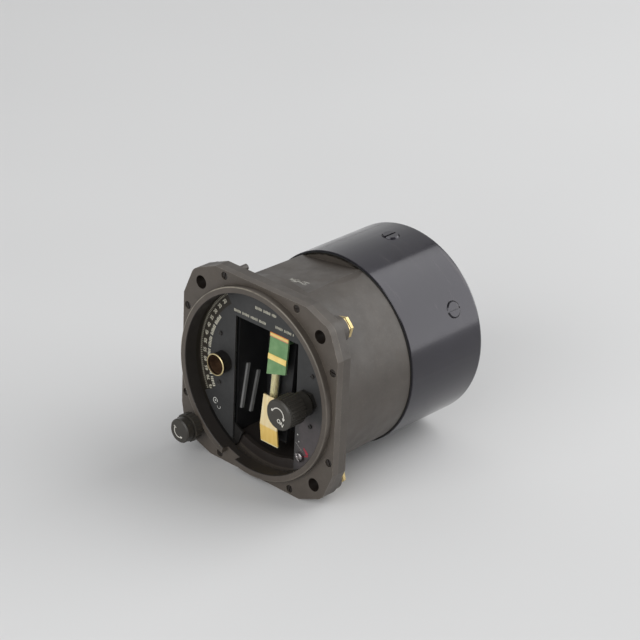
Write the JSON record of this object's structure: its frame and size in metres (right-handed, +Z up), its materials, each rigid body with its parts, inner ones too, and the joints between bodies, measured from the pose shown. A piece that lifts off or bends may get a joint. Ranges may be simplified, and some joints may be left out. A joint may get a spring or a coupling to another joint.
{
  "type": "carbon monoxide indicator",
  "caption": "Panel-mounted aircraft gas indicator: square flange, round case, recessed dial with detector tube and colour card, valve knob and scale setting knob.",
  "frame": {"origin": "centre of the flange's front face, which seats against the panel", "axes": "+X right seen from the front, +Y back along the case axis, +Z up"},
  "size_m": [0.0816, 0.1061, 0.0816],
  "materials": {
    "case_paint": "satin brown olive paint on cast alloy",
    "cover_gloss": "gloss black enamel",
    "screw_steel": "blackened steel",
    "bare_steel": "bare steel",
    "brass": "brass, dulled",
    "brass_bright": "bright sheet brass",
    "rubber_black": "black rubber",
    "dial_black": "matt slate black dial paint",
    "scale_paint": "matt brown black paint with cream figures",
    "knob_black": "moulded black phenolic",
    "socket_black": "black ebonite",
    "gauze": "brown gauze",
    "pocket_black": "matt black",
    "rail_grey": "bare grey alloy",
    "card_green": "green printed card",
    "marker_amber": "amber and orange printed strip",
    "glass": "clear glass",
    "gel_yellow": "pale yellow granules",
    "frame_alloy": "machined alloy",
    "can_tin": "tinned steel",
    "copper": "copper tube"
  },
  "bodies": {
    "case": {"bezel_ring": "case_paint", "front_case": "case_paint", "bezel_screws": "screw_steel", "anchor_nuts": "brass", "seam_gasket": "rubber_black", "rear_cover": "cover_gloss", "cover_screws": "screw_steel", "rear_union": "brass", "union_nut": "brass", "dial_plate": "dial_black", "dial_posts": "brass", "dial_screws": "screw_steel", "adjust_screw": "bare_steel", "set_bush": "brass", "valve_bush": "brass", "valve_body": "frame_alloy", "valve_end_cap": "brass", "inlet_socket": "socket_black", "inlet_rim": "brass", "inlet_gauze": "gauze", "tube_pocket": "pocket_black", "guide_rails": "rail_grey", "tube_rack": "pocket_black", "colour_card": "card_green", "marker_strips": "marker_amber", "detector_tube": "glass", "detector_gel": "gel_yellow", "tube_clip": "brass_bright", "tube_head": "rubber_black", "tube_foot": "rubber_black", "frame_plate": "frame_alloy", "frame_screws": "screw_steel", "frame_pillars": "bare_steel", "bulkhead": "frame_alloy", "pillar_nuts": "bare_steel", "tie_rods": "bare_steel", "rear_ring": "frame_alloy", "filter_canister": "can_tin", "canister_cap": "can_tin", "canister_ring": "frame_alloy", "inlet_pipe": "copper", "head_pipe": "copper", "cross_pipe": "copper", "suction_pipe": "copper"},
    "scale": {"scale_sector": "scale_paint"},
    "setter": {"set_pinion": "brass", "set_shaft": "bare_steel", "set_knob": "knob_black"},
    "valve": {"valve_knob": "knob_black", "valve_shaft": "bare_steel"}
  },
  "joints": [
    {"name": "valve_turn", "type": "hinge", "parent": "case", "child": "valve", "pos_m": [0.0225, 0, -0.0008], "axis": [0, 1, 0], "range_deg": [0, 90]},
    {"name": "scale_turn", "type": "hinge", "parent": "case", "child": "scale", "pos_m": [0, 0, 0], "axis": [0, -1, 0], "range_deg": [-20, 20]},
    {"name": "set_turn", "type": "hinge", "parent": "case", "child": "setter", "pos_m": [-0.03138, 0, -0.02998], "axis": [0, -1, 0], "range_deg": [-158, 158]}
  ],
  "couplings": [
    {"joint": "set_turn", "follows": "scale_turn", "ratio": -7.8571}
  ]
}
